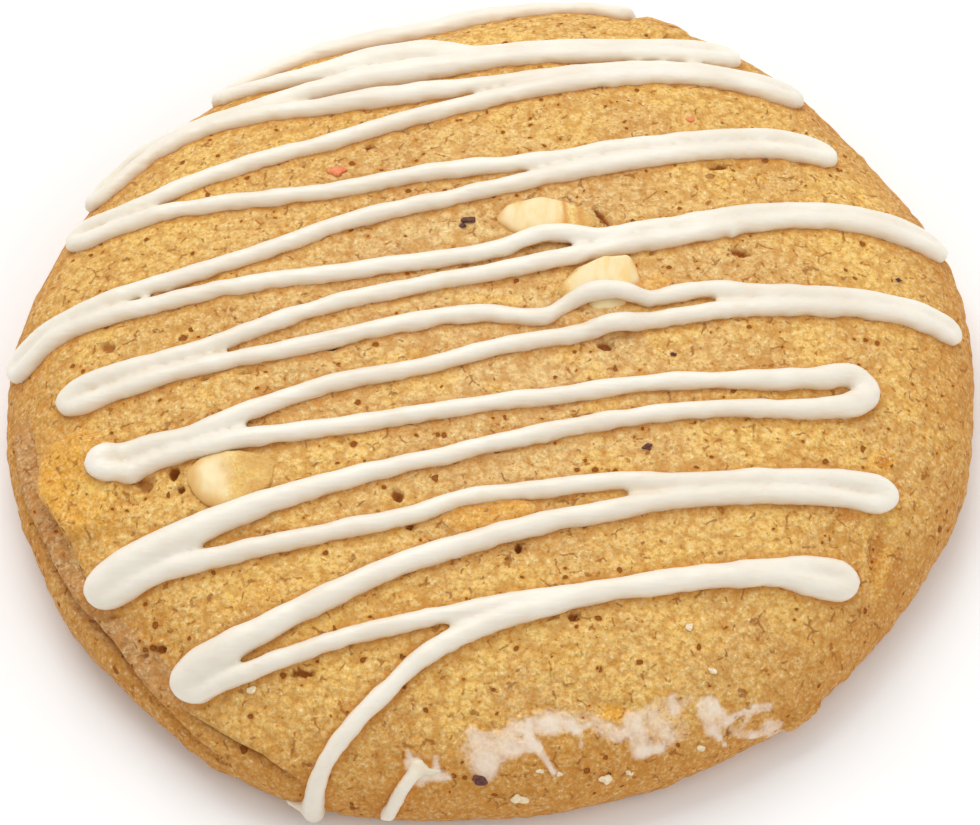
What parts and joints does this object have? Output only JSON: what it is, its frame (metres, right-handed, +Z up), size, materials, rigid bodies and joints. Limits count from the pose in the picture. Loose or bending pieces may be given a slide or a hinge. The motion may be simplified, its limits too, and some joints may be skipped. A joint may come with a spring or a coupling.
{
  "type": "lemon cookie",
  "caption": "Round domed cookie with a folded rim, chunks of white chocolate set in its top and a zigzag of thick white icing piped across it.",
  "frame": {"origin": "centre of the cookie's box in plan, on its underside", "axes": "+Z up through the cookie, +X to the right and +Y away from the viewer of the picture, so that the icing's passes run roughly along X"},
  "size_m": [0.0803, 0.0806, 0.0165],
  "materials": {
    "dough": "baked, granular, dull",
    "white_chocolate": "waxy",
    "icing": "smooth, soft sheen"
  },
  "bodies": {
    "root": {"cookie": "dough", "white_chunk_1": "white_chocolate", "white_chunk_2": "white_chocolate", "white_chunk_3": "white_chocolate"}
  },
  "joints": []
}
